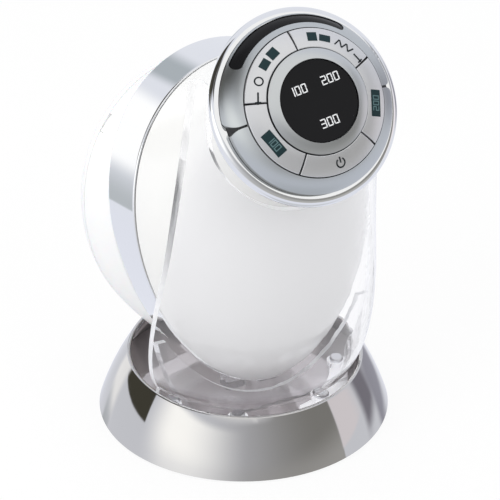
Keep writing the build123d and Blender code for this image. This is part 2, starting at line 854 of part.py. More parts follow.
# Chrome cup behind the panel
lip_inner = plate_outer_radius - plate_thickness + seat_gap
lip_outer = plate_outer_radius + lip_margin
lip_drop = plate_outer_drop + lip_rise
carrier_drop = board_drop + board_thickness + carrier_margin
cup_floor = cup_back_drop - cup_wall
shelf_radius = lip_inner - cup_shelf
shelf_drop = carrier_drop + cup_shelf_depth
with BuildPart() as panel_cup:
    with BuildSketch(radial_plane(panel, 0)):
        with BuildLine():
            Polyline((lip_outer, -lip_drop), (lip_inner, -lip_drop), (lip_inner, -carrier_drop))
            Polyline((lip_inner, -carrier_drop), (shelf_radius, -carrier_drop), (shelf_radius, -shelf_drop))
            ThreePointArc(
                (shelf_radius, -shelf_drop),
                (lip_inner - cup_hollow, -cup_floor + cup_hollow_rise),
                (collar_radius, -cup_floor),
            )
            Polyline((collar_radius, -cup_floor), (neck_bore, -cup_floor), (neck_bore, -cup_back_drop))
            Line((neck_bore, -cup_back_drop), (collar_radius + cup_foot, -cup_back_drop))
            ThreePointArc(
                (collar_radius + cup_foot, -cup_back_drop),
                (cup_radius - cup_shoulder, -cup_drop - cup_shoulder_drop),
                (cup_radius, -cup_drop),
            )
            ThreePointArc(
                (cup_radius, -cup_drop),
                (cup_radius - lip_round, -lip_drop - lip_round),
                (lip_outer, -lip_drop),
            )
        make_face()
    revolve(axis=panel_axis)
finish(panel_cup, "panel_cup")

# Black insulating carrier under the keys and the contact plates
key_inner_radius = bezel_radius + key_margin
stem_circle = (key_inner_radius + key_outer_radius) / 2
carrier_floor = carrier_floor_drop + carrier_floor_thickness
carrier_bore = module_radius + module_margin
key_pitch = 360 / key_count
first_stem_angle = first_key_angle + key_pitch / 2
screw_spots = []
for divider in screw_dividers:
    screw_angle = radians(first_key_angle + divider * key_pitch)
    screw_spots.append((stem_circle * cos(screw_angle), stem_circle * sin(screw_angle)))
with BuildPart() as panel_carrier:
    with BuildSketch(radial_plane(panel, 0)):
        with BuildLine():
            carrier_start, carrier_middle, carrier_end = plate_arc(plate_thickness)
            Polyline(
                (carrier_bore, -carrier_floor_drop),
                (plate_inner_radius, -carrier_floor_drop),
                carrier_start,
            )
            ThreePointArc(carrier_start, carrier_middle, carrier_end)
            Polyline(
                carrier_end,
                (carrier_end.X, -carrier_drop),
                (carrier_end.X - carrier_skirt, -carrier_drop),
                (carrier_end.X - carrier_skirt, -board_drop),
                (carrier_end.X - carrier_slope_run, -carrier_floor),
                (carrier_bore, -carrier_floor),
                (carrier_bore, -carrier_floor_drop),
            )
        make_face()
    revolve(axis=panel_axis)
    with BuildSketch(panel.offset(-board_drop)):
        with Locations(*screw_spots):
            Circle(screw_radius + carrier_boss_wall)
    extrude(amount=board_drop - carrier_floor)
    with BuildSketch(panel.offset(-board_drop)):
        with Locations(*screw_spots):
            Circle(screw_radius)
    extrude(amount=board_drop - carrier_floor + carrier_screw_bite, mode=Mode.SUBTRACT)
    with BuildSketch(panel.offset(-board_drop)):
        with PolarLocations(stem_circle, key_count, start_angle=first_stem_angle):
            Circle(stem_radius + stem_margin)
    extrude(amount=board_drop, mode=Mode.SUBTRACT)
finish(panel_carrier, "panel_carrier")

# Slot along the upper contact plate
slot_width = slot_outer_radius - slot_inner_radius
slot_circle = (slot_outer_radius + slot_inner_radius) / 2
slot_turn = slot_half_angle - degrees(slot_width / 2 / slot_circle)


def slot_face(inset):
    """Outline of the indicator slot, inset for the strip that fills it"""
    with BuildSketch(panel.offset(-lip_drop)) as section:
        with BuildLine() as centre_line:
            CenterArc((0, 0), slot_circle, 90 - slot_turn, 2 * slot_turn)
        SlotArc(centre_line.line.edge(), slot_width - 2 * inset)
    return section.sketch


def gap_face(side_turn):
    """Gap between the two contact plates at one side, wide at the rim where their corners are round"""
    half_gap = plate_gap / 2
    bend = plate_outer_radius - plate_corner
    spread = half_gap + plate_corner
    gap_plane = turned_plane(panel, side_turn)
    with BuildSketch(gap_plane.offset(-lip_drop)) as section:
        with BuildLine():
            Polyline(
                (bend, half_gap),
                (stem_circle, half_gap),
                (stem_circle, -half_gap),
                (bend, -half_gap),
            )
            CenterArc((bend, spread), plate_corner, -90, 90)
            Polyline(
                (plate_outer_radius, spread),
                (cup_radius, spread),
                (cup_radius, -spread),
                (plate_outer_radius, -spread),
            )
            CenterArc((bend, -spread), plate_corner, 0, 90)
        make_face()
    return section.sketch


# Satin contact plates round the keys, upper and lower half
upper_arc = left_gap_turn - right_gap_turn
with BuildPart() as upper_contact:
    upper_face = plate_face(radial_plane(panel, right_gap_turn), 0, plate_thickness)
    revolve(upper_face, axis=panel_axis, revolution_arc=upper_arc)
    for gap_turn in (right_gap_turn, left_gap_turn):
        extrude(gap_face(gap_turn), amount=lip_drop, mode=Mode.SUBTRACT)
    extrude(slot_face(0), amount=lip_drop, mode=Mode.SUBTRACT)
finish(upper_contact, "upper_contact")

with BuildPart() as lower_contact:
    lower_face = plate_face(radial_plane(panel, left_gap_turn), 0, plate_thickness)
    revolve(lower_face, axis=panel_axis, revolution_arc=360 - upper_arc)
    for gap_turn in (right_gap_turn, left_gap_turn):
        extrude(gap_face(gap_turn), amount=lip_drop, mode=Mode.SUBTRACT)
    with BuildSketch(panel.offset(-lip_drop)):
        Circle(cup_radius)
        Circle(plate_outer_radius - lower_trim, mode=Mode.SUBTRACT)
    extrude(amount=lip_drop, mode=Mode.SUBTRACT)
finish(lower_contact, "lower_contact")

# Dark indicator strip that fills the slot, a little below the plate
with BuildPart() as indicator_strip:
    revolve(
        plate_face(radial_plane(panel, 0), strip_recess, plate_thickness),
        axis=panel_axis,
        revolution_arc=180,
    )
    extrude(slot_face(seat_gap), amount=lip_drop, mode=Mode.INTERSECT)
finish(indicator_strip, "indicator_strip")

# Bezel round the window
with BuildPart() as window_bezel:
    with BuildSketch(radial_plane(panel, 0)):
        with BuildLine():
            ThreePointArc(
                (window_radius, bezel_crest),
                ((window_radius + bezel_radius) / 2, (bezel_crest - bezel_drop) / 2 + bezel_crown),
                (bezel_radius, -bezel_drop),
            )
            Polyline(
                (bezel_radius, -bezel_drop),
                (bezel_radius, -carrier_floor_drop),
                (bezel_radius - bezel_skirt, -carrier_floor_drop),
                (bezel_radius - bezel_skirt, -window_thickness - bezel_seat),
                (window_radius - bezel_seat, -window_thickness - bezel_seat),
                (window_radius - bezel_seat, -window_thickness),
                (window_radius, -window_thickness),
                (window_radius, bezel_crest),
            )
        make_face()
    revolve(axis=panel_axis)
finish(window_bezel, "window_bezel")

# Dark window of the display
with BuildPart() as display_window:
    with BuildSketch(panel.offset(-window_thickness)):
        Circle(window_radius - seat_gap)
    extrude(amount=window_thickness)
    fillet(display_window.edges().group_by(panel_axis)[-1], window_edge)
finish(display_window, "display_window")

# Display module between the window and its board
with BuildPart() as display_module:
    with BuildSketch(panel.offset(-board_drop)):
        Circle(module_radius)
    extrude(amount=board_drop - window_thickness)
finish(display_module, "display_module")

# Round display board
with BuildPart() as display_board:
    with BuildSketch(panel.offset(-board_drop - board_thickness)):
        Circle(carrier_end.X - carrier_skirt - move_gap)
        with Locations(*screw_spots):
            Circle(screw_radius + seat_gap, mode=Mode.SUBTRACT)
    extrude(amount=board_thickness)
finish(display_board, "display_board")

# Switches under the stems of the keys
with BuildPart() as key_switches:
    with BuildSketch(panel.offset(-board_drop)):
        with PolarLocations(stem_circle, key_count, start_angle=first_stem_angle):
            RectangleRounded(switch_size, switch_size, switch_corner)
    extrude(amount=switch_height)
finish(key_switches, "key_switches")

# Screws that hold the display board to the carrier
with BuildPart() as panel_screws:
    with BuildSketch(panel.offset(-board_drop - board_thickness)):
        with Locations(*screw_spots):
            Circle(screw_head_radius)
    extrude(amount=-screw_head_height)
    with BuildSketch(panel.offset(-board_drop - board_thickness)):
        with Locations(*screw_spots):
            Circle(screw_radius)
    extrude(amount=board_thickness + board_drop - carrier_floor)
finish(panel_screws, "panel_screws")

# Five keys between the bezel and the contact plates
key_names = ("right_level_key", "left_level_key", "left_mode_key", "power_key", "right_mode_key")
key_gap_turn = degrees(key_gap / stem_circle)
stem_end = board_drop - switch_height - key_travel - switch_margin
for number, key_name in enumerate(key_names):
    key_start = first_key_angle + number * key_pitch + key_gap_turn / 2
    with BuildPart() as key:
        with BuildSketch(radial_plane(panel, key_start)):
            with BuildLine():
                ThreePointArc(
                    (key_inner_radius, -key_inner_drop),
                    (stem_circle, -(key_inner_drop + key_outer_drop) / 2 + key_crown),
                    (key_outer_radius, -key_outer_drop),
                )
                Polyline(
                    (key_outer_radius, -key_outer_drop),
                    (key_outer_radius, -key_depth),
                    (key_inner_radius, -key_depth),
                    (key_inner_radius, -key_inner_drop),
                )
            make_face()
        revolve(axis=panel_axis, revolution_arc=key_pitch - key_gap_turn)
        fillet(key.faces().sort_by(panel_axis)[-1].edges(), key_edge)
        with BuildSketch(panel.offset(-stem_end)):
            with PolarLocations(stem_circle, 1, start_angle=key_start + (key_pitch - key_gap_turn) / 2):
                Circle(stem_radius)
        extrude(amount=stem_end - key_depth)
    finish(key, key_name)
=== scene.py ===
from math import cos, radians, sin

import bpy
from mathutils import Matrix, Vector


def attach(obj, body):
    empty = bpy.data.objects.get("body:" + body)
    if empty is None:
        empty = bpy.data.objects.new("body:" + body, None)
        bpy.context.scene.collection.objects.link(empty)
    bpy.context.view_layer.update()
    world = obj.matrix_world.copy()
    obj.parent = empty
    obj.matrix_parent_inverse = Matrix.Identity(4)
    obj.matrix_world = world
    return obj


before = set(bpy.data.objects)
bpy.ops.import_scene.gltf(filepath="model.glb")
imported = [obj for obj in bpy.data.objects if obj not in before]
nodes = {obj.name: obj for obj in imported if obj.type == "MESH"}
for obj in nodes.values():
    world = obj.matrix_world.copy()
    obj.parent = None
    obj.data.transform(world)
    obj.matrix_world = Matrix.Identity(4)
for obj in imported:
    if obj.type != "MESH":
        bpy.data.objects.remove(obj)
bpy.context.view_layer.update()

# Camera: a long lens a little left of the front, looking down at the panel and the clear cradle.
# Its place and focus were fitted to the circles of the base and the panel, in a frame of 500
# pixels.
camera_azimuth = radians(-24.75)
camera_height_angle = radians(29.91)
camera_distance = 0.825
camera_aim_height = 0.065
camera_aim_side = 0.00239
picture_side = 500
picture_focus = 2264.6
sensor_side = 36
camera_back = Vector((
    sin(camera_azimuth) * cos(camera_height_angle),
    -cos(camera_azimuth) * cos(camera_height_angle),
    sin(camera_height_angle),
))
camera_side = Vector((cos(camera_azimuth), sin(camera_azimuth), 0))
camera_aim = Vector((0, 0, camera_aim_height)) + camera_side * camera_aim_side
camera_data = bpy.data.cameras.new("camera")
camera_data.sensor_width = sensor_side
camera_data.lens = sensor_side * picture_focus / picture_side
camera = bpy.data.objects.new("camera", camera_data)
camera.location = camera_aim + camera_back * camera_distance
camera.rotation_euler = camera_back.to_track_quat("Z", "Y").to_euler()
bpy.context.scene.collection.objects.link(camera)
bpy.context.scene.camera = camera
bpy.context.scene.view_settings.view_transform = "Standard"


# Studio surround: soft cards all round the object, which its polished metal mirrors. One large
# window lights from the left, with dark flags behind it, a grey wall in front and a rose card on
# the right.
def add_node(tree, kind, **settings):
    """A new node: in_NAME and in_NUMBER set or link its sockets, other keywords its properties"""
    node = tree.nodes.new(kind)
    for key, value in settings.items():
        if not key.startswith("in_"):
            setattr(node, key, value)
            continue
        label = key.removeprefix("in_")
        socket = node.inputs[int(label) if label.isdigit() else label.replace("_", " ")]
        if isinstance(value, bpy.types.NodeSocket):
            tree.links.new(value, socket)
        else:
            socket.default_value = value
    return node


def calc(tree, operation, first, second=0.0, third=0.0):
    """Output of a Math node"""
    return add_node(
        tree, "ShaderNodeMath", operation=operation, in_0=first, in_1=second, in_2=third).outputs[0]


def calc_vector(tree, operation, first, second=(0, 0, 0)):
    """A Vector Math node of two vectors"""
    return add_node(tree, "ShaderNodeVectorMath", operation=operation, in_0=first, in_1=second)


def parted(tree, vector):
    """The three outputs of a vector's parts"""
    return add_node(tree, "ShaderNodeSeparateXYZ", in_0=vector).outputs


def ease(tree, value, low, high, low_out=0.0, high_out=1.0):
    """Output of a smooth step between two values"""
    return add_node(
        tree, "ShaderNodeMapRange", interpolation_type="SMOOTHSTEP",
        in_0=value, in_1=low, in_2=high, in_3=low_out, in_4=high_out,
    ).outputs[0]


def between(tree, angle, edges):
    """Mask of a card along one angle, which starts, is full, is full still and ends at its edges"""
    starts = ease(tree, angle, edges[0], edges[1])
    ends = ease(tree, angle, edges[3], edges[2])
    return calc(tree, "MULTIPLY", starts, ends)


def blend_colours(tree, share, first, second):
    """Output of a colour Mix node"""
    return add_node(
        tree, "ShaderNodeMix", data_type="RGBA", in_0=share, in_6=first, in_7=second).outputs[2]


def new_group(name, inputs, outputs):
    """A shader node group with named sockets, and its input and output nodes"""
    group = bpy.data.node_groups.new(name, "ShaderNodeTree")
    for label, kind, value in inputs:
        socket = group.interface.new_socket(label, in_out="INPUT", socket_type=kind)
        socket.default_value = value
    for label, kind in outputs:
        group.interface.new_socket(label, in_out="OUTPUT", socket_type=kind)
    return group, group.nodes.new("NodeGroupInput"), group.nodes.new("NodeGroupOutput")


# Bearing 0 is in front of the panel and 90 on the right, and all angles are in degrees. Each card
# is laid over those before it. Its slant is how much its edges rise for each degree of bearing.
all_round = (-299, -298, 298, 299)
studio_cards = (
    # bearings, heights, slant, light
    (all_round, (-99, -98, -32, -18), 0, (0.82, 0.84, 0.92)),  # pale table
    ((-60, -40, 50, 70), (-99, -98, -60, -42), 0, (0.62, 0.64, 0.68)),  # its shaded front
    ((-85, 40, 53.5, 55.5), (-18, -10, 24, 30), 0, (0.28, 0.275, 0.26)),  # wall in front
    ((-60, 0, 53.5, 55.5), (-26, -16, -6, 10), 0, (0.47, 0.465, 0.45)),  # foot of that wall
    ((-112, -84, -78, -20), (-14, 10, 20, 24), 0, (1.5, 1.5, 1.46)),  # window
    ((-66, -50, 45, 70), (24, 30, 98, 99), 0, (1.0, 1.0, 0.99)),  # white ceiling
    ((53.5, 55.5, 72, 86), (-5, -3, 14, 22), 0, (0.93, 0.88, 0.91)),  # rose card
    ((50, 55, 70, 80), (16, 22, 32, 38), 0, (0.4, 0.41, 0.43)),  # grey strip over it
    ((80, 89, 99, 114), (-15, -9, 4, 16), 0, (0.26, 0.25, 0.29)),  # dark stand beside it
    ((98, 108, 126, 146), (-25, -19, -10, -3), 0, (0.4, 0.4, 0.46)),  # foot of that stand
    ((-151, -146.5, -110.2, -108.8), (3.0, 3.8, 50, 60), 0.17, (0.07, 0.066, 0.05)),  # flag
    ((-150, -146, -98, -90), (22, 26, 60, 70), 0, (0.05, 0.047, 0.04)),  # flag over the window
    ((-98, -90, -70, -60), (34, 40, 60, 70), 0, (0.1, 0.095, 0.085)),  # its front end
    ((-170, -162, -153, -145), (-18, -12, 6, 11), 0, (1.15, 1.15, 1.15)),  # light strip behind
    ((-165, -159, -151, -147), (-25.5, -24.9, -24, -11), 0, (0.52, 0.55, 0.575)),  # its foot
    ((-188, -179, -173, -168), (6, 12, 16, 22), 0, (0.45, 0.49, 0.52)),  # grey patch at the back
)
plain_wall = (0.83, 0.85, 0.91, 1)
wrap_bearing = 160.0  # no card crosses it
slant_bearing = -109.5  # a slanted card has its written heights here
surround, surround_in, surround_out = new_group(
    "studio_surround",
    [("Direction", "NodeSocketVector", (0, -1, 0))],
    [("Color", "NodeSocketColor")],
)
way_seen = calc_vector(surround, "NORMALIZE", surround_in.outputs["Direction"]).outputs[0]
rightwards, backwards, upwards = parted(surround, way_seen)
turn = calc(surround, "ARCTAN2", rightwards, calc(surround, "MULTIPLY", backwards, -1.0))
bearing = calc(
    surround, "WRAP", calc(surround, "DEGREES", turn), wrap_bearing, wrap_bearing - 360)
height_angle = calc(surround, "DEGREES", calc(surround, "ARCSINE", upwards))
slant_run = calc(surround, "SUBTRACT", bearing, slant_bearing)
seen_card = plain_wall
for bearings, heights, slant, card_light in studio_cards:
    card_height = height_angle
    if slant:
        card_height = calc(surround, "MULTIPLY_ADD", slant_run, -slant, height_angle)
    card_mask = calc(
        surround, "MULTIPLY",
        between(surround, bearing, bearings), between(surround, card_height, heights))
    seen_card = blend_colours(surround, card_mask, seen_card, (*card_light, 1))
surround.links.new(seen_card, surround_out.inputs["Color"])


# Light of the surroundings: the camera and the clear pieces see plain white round the object,
# polished pieces mirror the cards, and an even white fill lights everything else.
def mix_shaders(tree, share, first, second):
    """Output of a Mix Shader node"""
    return add_node(
        tree, "ShaderNodeMixShader", in_0=share, in_1=first, in_2=second).outputs[0]


def seen_ray(tree, paths):
    """Mask of the rays that look at something, straight from the camera or through a clear piece"""
    return calc(
        tree, "MAXIMUM", paths.outputs["Is Camera Ray"], paths.outputs["Is Transmission Ray"])


white = (1, 1, 1, 1)
fill_strength = 0.8
clear_whitening = 0.5  # share of plain white in what a clear piece mirrors inside itself
world = bpy.data.worlds.new("studio")
world.use_nodes = True
bpy.context.scene.world = world
sky = world.node_tree
sky.nodes.clear()
sky_paths = add_node(sky, "ShaderNodeLightPath")
sky_way = add_node(sky, "ShaderNodeTexCoord").outputs["Generated"]
sky_cards = add_node(sky, "ShaderNodeGroup", node_tree=surround, in_Direction=sky_way).outputs[0]
inside_clear = calc(sky, "GREATER_THAN", sky_paths.outputs["Transmission Depth"], 0.5)
mirrored_colour = blend_colours(
    sky, calc(sky, "MULTIPLY", inside_clear, clear_whitening), sky_cards, white)
fill_light, mirrored_light, seen_light = (
    add_node(sky, "ShaderNodeBackground", in_0=colour, in_1=strength).outputs[0]
    for colour, strength in ((white, fill_strength), (mirrored_colour, 1.0), (white, 1.0))
)
sky_light = mix_shaders(sky, sky_paths.outputs["Is Glossy Ray"], fill_light, mirrored_light)
add_node(
    sky, "ShaderNodeOutputWorld",
    in_0=mix_shaders(sky, seen_ray(sky, sky_paths), sky_light, seen_light))


# Floor: white paper under the object. It looks plain white, keeps a soft shadow, throws a little
# less light back at the object than it shows, and lets polished pieces see the cards through it.
floor_reach = 4.0
floor_white = (0.86, 0.86, 0.86, 1)
floor_bounce = (0.6, 0.6, 0.6, 1)
floor_glow = 0.9  # the rest of what is seen is lit paper, which carries the shadow
floor_corners = [
    (side * floor_reach, end * floor_reach, 0)
    for side, end in ((-1, -1), (1, -1), (1, 1), (-1, 1))
]
floor_mesh = bpy.data.meshes.new("floor")
floor_mesh.from_pydata(floor_corners, [], [(0, 1, 2, 3)])
floor = bpy.data.objects.new("floor", floor_mesh)
bpy.context.scene.collection.objects.link(floor)
floor_material = bpy.data.materials.new("white_floor")
floor_material.use_nodes = True
floor_tree = floor_material.node_tree
floor_tree.nodes.clear()
floor_paths = add_node(floor_tree, "ShaderNodeLightPath")
floor_colour = blend_colours(
    floor_tree, floor_paths.outputs["Is Diffuse Ray"], floor_white, floor_bounce)
floor_paper = add_node(floor_tree, "ShaderNodeBsdfDiffuse", in_0=floor_colour).outputs[0]
floor_light = add_node(floor_tree, "ShaderNodeEmission", in_0=white, in_1=1.0).outputs[0]
floor_open = add_node(floor_tree, "ShaderNodeBsdfTransparent").outputs[0]
floor_share = calc(floor_tree, "MULTIPLY", seen_ray(floor_tree, floor_paths), floor_glow)
floor_looks = mix_shaders(floor_tree, floor_share, floor_paper, floor_light)
add_node(
    floor_tree, "ShaderNodeOutputMaterial",
    in_0=mix_shaders(floor_tree, floor_paths.outputs["Is Glossy Ray"], floor_looks, floor_open))
floor_mesh.materials.append(floor_material)


# Lamps: three square softboxes at a plain level, on the left, on the right and overhead. Metal
# doesn't mirror them, as the cards stand for them there.
lamp_aim = Vector((0, 0, 0.08))
for lamp_name, lamp_place, lamp_power, lamp_side in (
    ("left_softbox", (-1.15, -0.25, 0.75), 7.0, 0.8),
    ("right_softbox", (0.5, -1.1, 0.7), 3.0, 0.7),
    ("top_softbox", (0.0, 0.2, 1.2), 2.5, 0.8),
):
    lamp_data = bpy.data.lights.new(lamp_name, "AREA")
    lamp_data.shape = "SQUARE"
    lamp_data.size = lamp_side
    lamp_data.energy = lamp_power
    lamp = bpy.data.objects.new(lamp_name, lamp_data)
    lamp.location = lamp_place
    lamp.rotation_euler = (lamp_aim - lamp.location).to_track_quat("-Z", "Y").to_euler()
    lamp.visible_glossy = False
    lamp.visible_camera = False
    bpy.context.scene.collection.objects.link(lamp)


# Polished base: a pressed steel cone, plated and buffed to a mirror, with the faint haze and
# hairlines that handling leaves on plating. It is pressed down over the floor plate.
haze_detail, haze_roughness = 4.0, 0.6
haze_starts, haze_full = 0.42, 0.75
hair_fineness = 14.0  # against the haze
hair_stretch = (1.0, 1.0, 14.0)
plating, plating_in, plating_out = new_group(
    "handled_plating",
    [("Haze", "NodeSocketFloat", 0.05), ("Scale", "NodeSocketFloat", 40.0),
     ("Roughness", "NodeSocketFloat", 0.05)],
    [("Roughness", "NodeSocketFloat"), ("Height", "NodeSocketFloat")],
)
plating_place = add_node(plating, "ShaderNodeTexCoord").outputs["Object"]
haze_cloud = add_node(
    plating, "ShaderNodeTexNoise", in_Vector=plating_place, in_Scale=plating_in.outputs["Scale"],
    in_Detail=haze_detail, in_Roughness=haze_roughness,
).outputs[0]
haze = ease(plating, haze_cloud, haze_starts, haze_full)
hair = add_node(
    plating, "ShaderNodeTexNoise",
    in_Vector=add_node(
        plating, "ShaderNodeMapping", in_0=plating_place, in_3=hair_stretch).outputs[0],
    in_Scale=calc(plating, "MULTIPLY", plating_in.outputs["Scale"], hair_fineness), in_Detail=2.0,
).outputs[0]
hazy = calc(plating, "MULTIPLY", haze, plating_in.outputs["Haze"])
hazy_roughness = calc(plating, "ADD", plating_in.outputs["Roughness"], hazy)
plating.links.new(hazy_roughness, plating_out.inputs["Roughness"])
plating.links.new(calc(plating, "ADD", hair, haze), plating_out.inputs["Height"])


def new_material(name, colour, roughness, **sockets):
    """A material with a Principled shader and its plain values"""
    material = bpy.data.materials.new(name)
    material.use_nodes = True
    shader = material.node_tree.nodes["Principled BSDF"]
    shader.inputs["Base Color"].default_value = (*colour, 1)
    shader.inputs["Roughness"].default_value = roughness
    for key, value in sockets.items():
        shader.inputs[key.replace("_", " ")].default_value = value
    return material, material.node_tree, shader


def relief(tree, shader, height, depth, strength):
    """Sends a height through a Bump node to the shader"""
    bump = add_node(
        tree, "ShaderNodeBump", in_Strength=strength, in_Distance=depth, in_Height=height)
    tree.links.new(bump.outputs[0], shader.inputs["Normal"])


def plated(name, colour, roughness, haze_amount, haze_scale=40.0):
    """Mirror plating with faint haze and hairlines"""
    material, tree, shader = new_material(name, colour, roughness, Metallic=1.0)
    marks = add_node(
        tree, "ShaderNodeGroup", node_tree=plating,
        in_Haze=haze_amount, in_Scale=haze_scale, in_Roughness=roughness)
    tree.links.new(marks.outputs["Roughness"], shader.inputs["Roughness"])
    relief(tree, shader, marks.outputs["Height"], depth=0.000002, strength=0.3)
    return material


def dress(material, *names):
    """Gives carried-over pieces their finish"""
    for name in names:
        nodes[name].data.materials.clear()
        nodes[name].data.materials.append(material)


dress(plated("polished_steel_base", (0.62, 0.61, 0.605), 0.035, haze_amount=0.03), "base_shell")


# Inside of the base: a floor plate and a deck of metallised plastic with a smoky mirror finish, a
# cast ballast ring, turned steel screws and a soft rubber foot glued under the floor plate.
def scaled(tree, vector, share):
    """Output of a vector or colour times a number"""
    return add_node(
        tree, "ShaderNodeVectorMath", operation="SCALE", in_0=vector, in_Scale=share).outputs[0]


cloud_scale = 28.0
rub_amount = 0.12  # how much the roughness changes with the cloud
skin, skin_in, skin_out = new_group(
    "moulded_skin",
    [("Color", "NodeSocketColor", (0.5, 0.5, 0.5, 1)), ("Scale", "NodeSocketFloat", 900.0),
     ("Variation", "NodeSocketFloat", 0.06), ("Roughness", "NodeSocketFloat", 0.4)],
    [("Color", "NodeSocketColor"), ("Roughness", "NodeSocketFloat"), ("Height", "NodeSocketFloat")],
)
skin_place = add_node(skin, "ShaderNodeTexCoord").outputs["Object"]
skin_grain, skin_cloud = (
    add_node(
        skin, "ShaderNodeTexNoise", in_Vector=skin_place, in_Scale=noise_scale, in_Detail=3.0
    ).outputs[0]
    for noise_scale in (skin_in.outputs["Scale"], cloud_scale)
)
cloud_offset = calc(skin, "SUBTRACT", skin_cloud, 0.5)
shade = calc(skin, "MULTIPLY_ADD", cloud_offset, skin_in.outputs["Variation"], 1.0)
rubbed = calc(skin, "MULTIPLY_ADD", cloud_offset, rub_amount, skin_in.outputs["Roughness"])
skin.links.new(scaled(skin, skin_in.outputs["Color"], shade), skin_out.inputs["Color"])
skin.links.new(rubbed, skin_out.inputs["Roughness"])
skin.links.new(skin_grain, skin_out.inputs["Height"])


def moulded(name, colour, roughness, grain_scale=900.0, grain_depth=0.00001, grain_strength=0.4,
            variation=0.06, **sockets):
    """Moulded plastic or rubber with a fine skin and a little variation"""
    material, tree, shader = new_material(name, colour, roughness, **sockets)
    surface = add_node(
        tree, "ShaderNodeGroup", node_tree=skin,
        in_Color=(*colour, 1), in_Scale=grain_scale, in_Variation=variation, in_Roughness=roughness)
    tree.links.new(surface.outputs["Color"], shader.inputs["Base Color"])
    tree.links.new(surface.outputs["Roughness"], shader.inputs["Roughness"])
    relief(tree, shader, surface.outputs["Height"], grain_depth, grain_strength)
    return material


smoky_mirror = moulded(
    "smoky_metallised_deck", (0.68, 0.635, 0.645), 0.05, grain_depth=0.000001, Metallic=0.42)
foot_rubber = moulded("foot_rubber", (0.03, 0.03, 0.032), 0.7, grain_scale=600.0)
cast_metal = moulded(
    "cast_ballast", (0.2, 0.2, 0.21), 0.55, grain_scale=400.0, grain_depth=0.00004, Metallic=0.9)
screw_steel = plated(
    "turned_screw_steel", (0.68, 0.68, 0.7), 0.2, haze_amount=0.1, haze_scale=120.0)
dress(smoky_mirror, "deck", "floor_plate")
dress(foot_rubber, "rubber_foot")
dress(cast_metal, "ballast")
dress(screw_steel, "base_screws", "cradle_screws", "board_screws", "panel_screws")


# Clear cradle, saddle and rest pads: the cradle is moulded in one piece with its foot and its
# screwed lugs, the saddle is a flat plate glued into it, and soft silicone pads carry the ring.
# Their cut edges are frosted and pale, with a painted glow for the light they gather.
sheet_clear = (0.985, 0.985, 0.995)
acrylic_ior = 1.49
edge_starts, edge_full = 0.7, 0.3  # 1 is a broad face of the sheet and 0 a cut edge
upward_starts, upward_full = 0.1, 0.4  # of the saddle, only the top edge is pale and has the painted glow
edge_roughness = 0.6
# colour of the painted glow on the cut edges
painted_glow_colour = (0.97, 0.98, 1.0)
cut_white = (0.86, 0.87, 0.88, 1)
shadow_tint = (0.97, 0.97, 0.98, 1)
foot_edge_low, foot_edge_high = 0.0166, 0.0185  # the top of the cradle's foot lies between them; the painted glow is stronger below


def edge_mask(tree, place, sheet_way):
    """Mask of a sheet's cut edges, from the way through it, given or out from the middle"""
    if sheet_way:
        through_sheet = sheet_way
    else:
        level_place = calc_vector(tree, "MULTIPLY", place.outputs["Object"], (1, 1, 0)).outputs[0]
        through_sheet = calc_vector(tree, "NORMALIZE", level_place).outputs[0]
    facing = calc_vector(tree, "DOT_PRODUCT", place.outputs["Normal"], through_sheet)
    across = calc(tree, "ABSOLUTE", facing.outputs["Value"])
    edge = ease(tree, across, edge_starts, edge_full)
    if sheet_way:
        faces_up = ease(
            tree, parted(tree, place.outputs["Normal"])[2], upward_starts, upward_full)
        edge = calc(tree, "MULTIPLY", edge, faces_up)
    return edge


def clear_cast(name, colour, roughness, ior, sheet_way=None, painted_glow_on_edges=0.64, cut_share=0.5,
               painted_glow_on_foot=1.0):
    """Clear plastic that lets lamps and fill light through, with pale edges across the sheet and a
    painted glow on them
    """
    material, tree, shader = new_material(
        name, colour, roughness, IOR=ior, Transmission_Weight=1.0, Emission_Strength=painted_glow_on_edges)
    marks = add_node(
        tree, "ShaderNodeGroup", node_tree=plating,
        in_Haze=0.02, in_Scale=25.0, in_Roughness=roughness)
    relief(tree, shader, marks.outputs["Height"], depth=0.000001, strength=0.2)
    place = add_node(tree, "ShaderNodeTexCoord")
    edge = edge_mask(tree, place, sheet_way)
    frosted = calc(tree, "MULTIPLY_ADD", edge, edge_roughness, marks.outputs["Roughness"])
    tree.links.new(frosted, shader.inputs["Roughness"])
    # Painted glow: the cut edges emit a pale light, a little stronger on the top of the foot.
    height = parted(tree, place.outputs["Object"])[2]
    foot_gain = ease(tree, height, foot_edge_high, foot_edge_low, 1.0, painted_glow_on_foot)
    glow = scaled(tree, painted_glow_colour, calc(tree, "MULTIPLY", edge, foot_gain))
    tree.links.new(glow, shader.inputs["Emission Color"])
    cut_face = add_node(tree, "ShaderNodeBsdfDiffuse", in_0=cut_white).outputs[0]
    body = mix_shaders(
        tree, calc(tree, "MULTIPLY", edge, cut_share), shader.outputs[0], cut_face)
    open_way = add_node(tree, "ShaderNodeBsdfTransparent", in_0=shadow_tint).outputs[0]
    paths = add_node(tree, "ShaderNodeLightPath")
    lit_through = calc(
        tree, "MAXIMUM", paths.outputs["Is Shadow Ray"], paths.outputs["Is Diffuse Ray"])
    tree.links.new(
        mix_shaders(tree, lit_through, body, open_way),
        tree.nodes["Material Output"].inputs["Surface"])
    return material


saddle_lean = radians(8.0)
saddle_way = (0, cos(saddle_lean), -sin(saddle_lean))
# Painted glow on the cut edges: full on the cradle and stronger on its foot, faint on the saddle
# and pads.
moulded_acrylic = clear_cast("clear_acrylic", sheet_clear, 0.0, acrylic_ior, painted_glow_on_foot=1.25)
acrylic_sheet = clear_cast(
    "clear_acrylic_sheet", sheet_clear, 0.0, acrylic_ior, sheet_way=saddle_way, painted_glow_on_edges=0.2,
    cut_share=0.4)
soft_silicone = clear_cast(
    "clear_silicone", (0.93, 0.93, 0.95), 0.12, ior=1.41, painted_glow_on_edges=0.05, cut_share=0.0)
dress(moulded_acrylic, "cradle")
dress(acrylic_sheet, "saddle")
dress(soft_silicone, "rest_pads")


